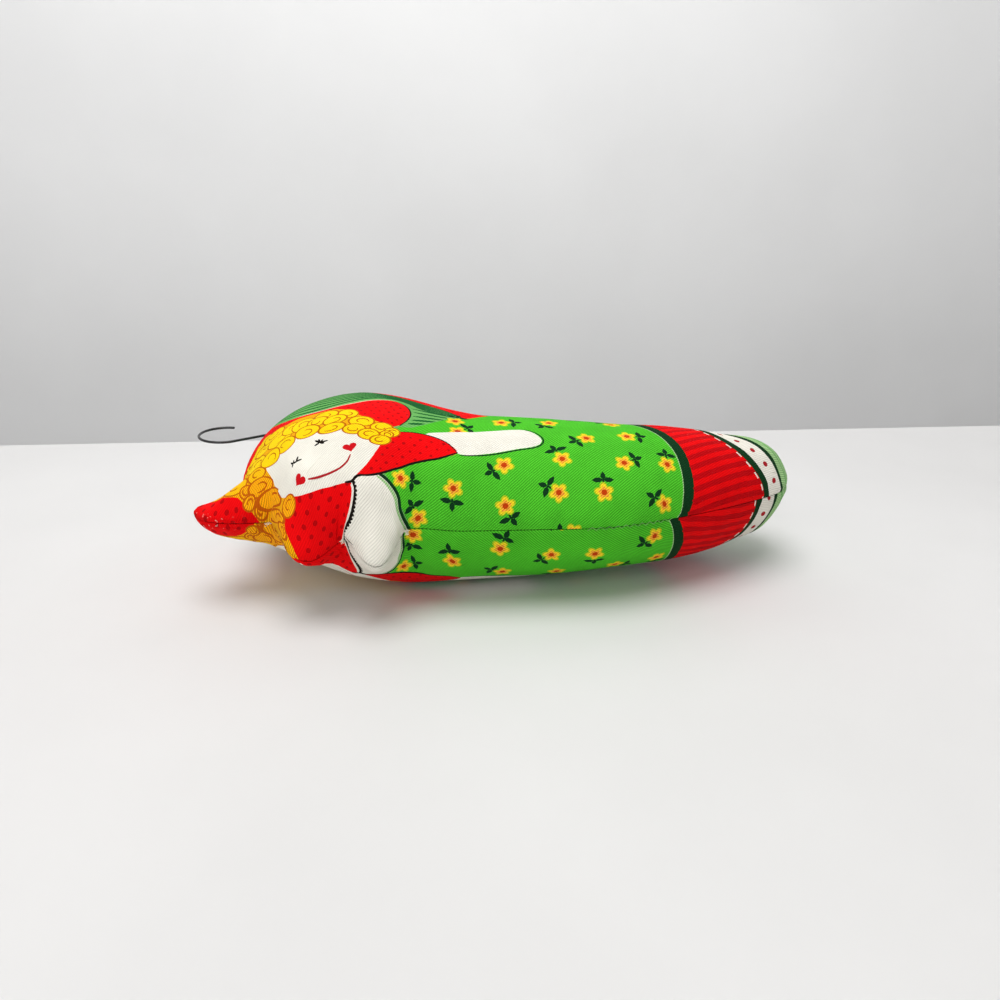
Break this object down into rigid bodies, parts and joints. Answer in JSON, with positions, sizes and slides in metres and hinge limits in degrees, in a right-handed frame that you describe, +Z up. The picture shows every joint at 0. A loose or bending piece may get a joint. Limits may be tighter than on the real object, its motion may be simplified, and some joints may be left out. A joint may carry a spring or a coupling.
{
  "type": "stuffed fabric angel ornament",
  "caption": "Stuffed cotton angel lying on its back: sewn printed front and back panels over fibre-filled lobes, a hand-closed opening, and a wire hook that swings in a thread loop.",
  "frame": {"origin": "on the surface the figure lies on, under the middle of its box", "axes": "+X from the crown to the feet, +Y towards the wing, +Z up out of the figure's front"},
  "size_m": [0.1962, 0.0932, 0.053],
  "materials": {
    "front_cotton": "matte",
    "back_cotton": "matte",
    "fibre": "matte",
    "thread": "matte",
    "black_wire": "satin"
  },
  "bodies": {
    "angel": {"front_panel": "front_cotton", "back_panel": "back_cotton", "body_fill": "fibre", "head_fill": "fibre", "wing_fill": "fibre", "bow_fill": "fibre", "sleeve_fill": "fibre", "bodice_fill": "fibre", "seam_thread": "thread", "closing_thread": "thread"},
    "loop": {"hanging_loop": "thread"},
    "hook": {"wire_hook": "black_wire"}
  },
  "joints": [
    {"name": "loop_flex", "type": "hinge", "parent": "angel", "child": "loop", "pos_m": [-0.06229, 0.03453, 0.02459], "axis": [-0.6441, -0.7649, 0], "range_deg": [-8, 70]},
    {"name": "hook_swing", "type": "hinge", "parent": "loop", "child": "hook", "pos_m": [-0.06786, 0.03922, 0.0307], "axis": [0.04, -0.0337, 0.9986], "range_deg": [-44, 16]}
  ]
}
